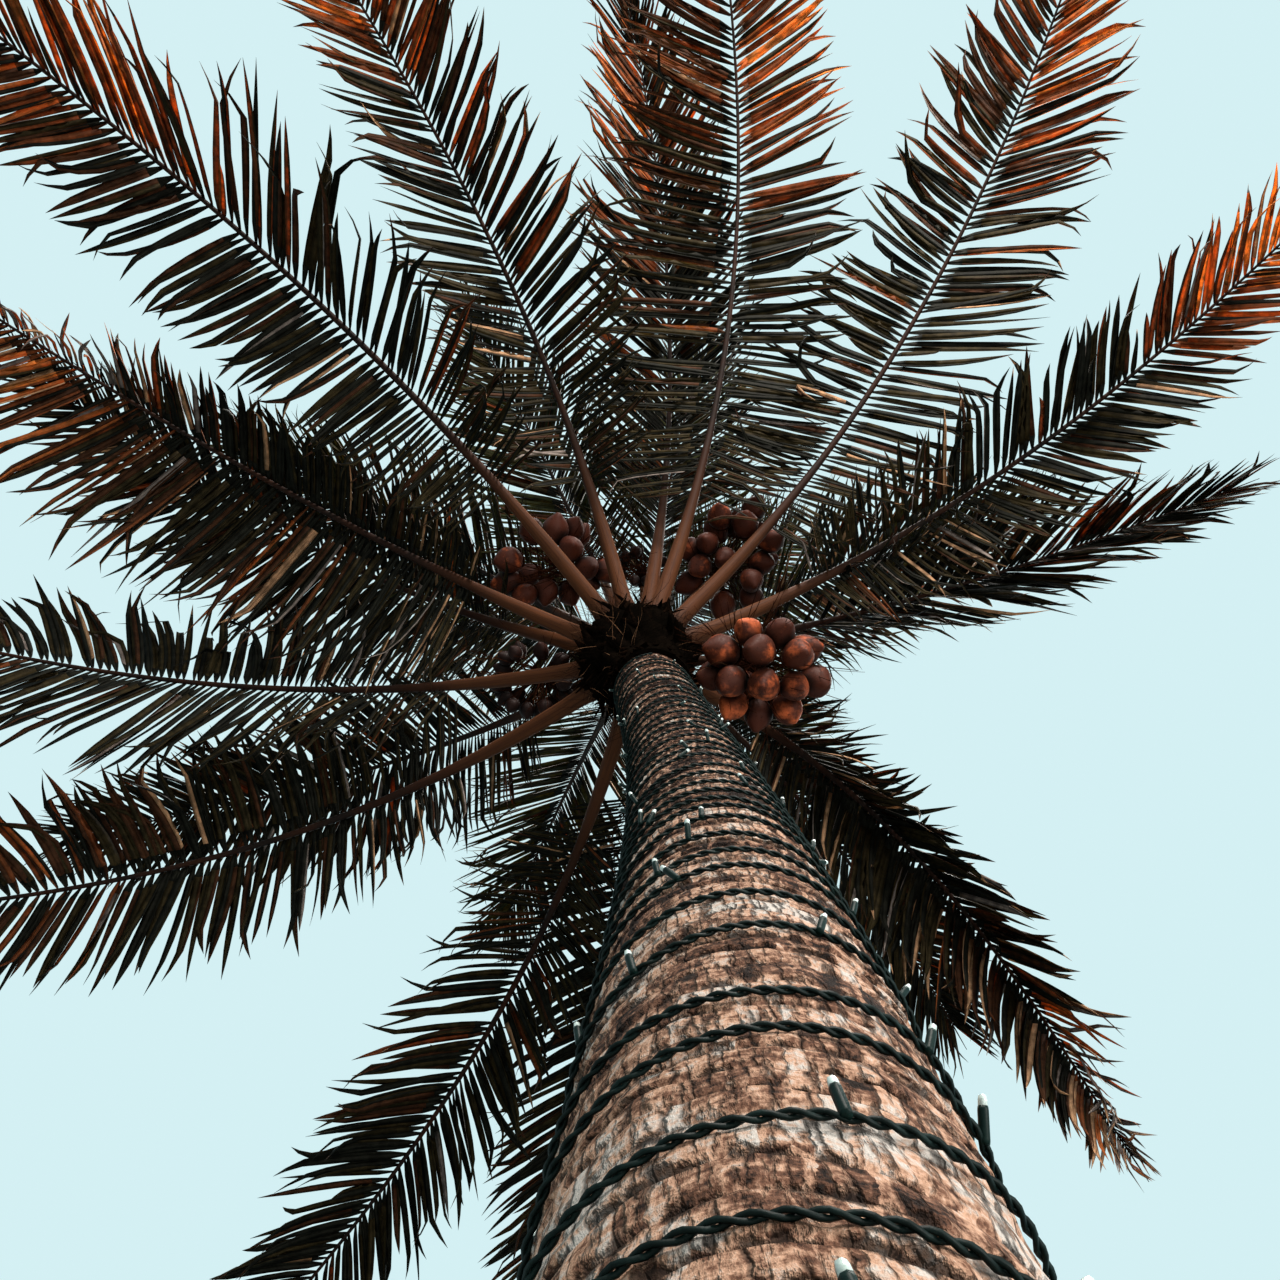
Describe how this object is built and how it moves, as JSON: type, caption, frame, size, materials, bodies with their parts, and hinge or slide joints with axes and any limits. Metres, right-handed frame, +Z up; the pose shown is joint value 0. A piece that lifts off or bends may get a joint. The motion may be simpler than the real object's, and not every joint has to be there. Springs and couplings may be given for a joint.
{
  "type": "coconut palm tree",
  "caption": "Tall coconut palm with a leaning ringed trunk that flares at the ground, a spreading crown of feathery fronds and hanging bunches of nuts.",
  "frame": {"origin": "middle of the trunk's flat foot, at ground level", "axes": "+Z up; -Y is the side the palm is looked at from, +X to the right from there"},
  "size_m": [8.9505, 9.2034, 11.1921],
  "materials": {
    "bark": "rough grey-tan palm bark with ring scars and vertical cracks",
    "heart_fibre": "dark matted leaf-base fibre",
    "frond": "dark olive leaflets with rust and tan tips on tan stalks",
    "nut": "smooth orange-brown husk",
    "light_string": "dark green wire and sockets with clear tips"
  },
  "bodies": {
    "root": {"bunch_1": "nut", "bunch_2": "nut", "bunch_3": "nut", "bunch_4": "nut", "bunch_5": "nut", "bunch_6": "nut", "crown_heart": "heart_fibre", "frond_01": "frond", "frond_02": "frond", "frond_03": "frond", "frond_04": "frond", "frond_05": "frond", "frond_06": "frond", "frond_07": "frond", "frond_08": "frond", "frond_09": "frond", "frond_10": "frond", "frond_11": "frond", "frond_12": "frond", "frond_13_inner": "frond", "frond_13_outer": "frond", "frond_14_inner": "frond", "frond_14_outer": "frond", "frond_15_inner": "frond", "frond_15_outer": "frond", "frond_16_inner": "frond", "frond_16_outer": "frond", "frond_17": "frond", "frond_18": "frond", "frond_19": "frond", "frond_20": "frond", "frond_21": "frond", "frond_22": "frond", "frond_23": "frond", "frond_24": "frond", "frond_25": "frond", "frond_26": "frond", "spear": "frond", "trunk": "bark"}
  },
  "joints": []
}
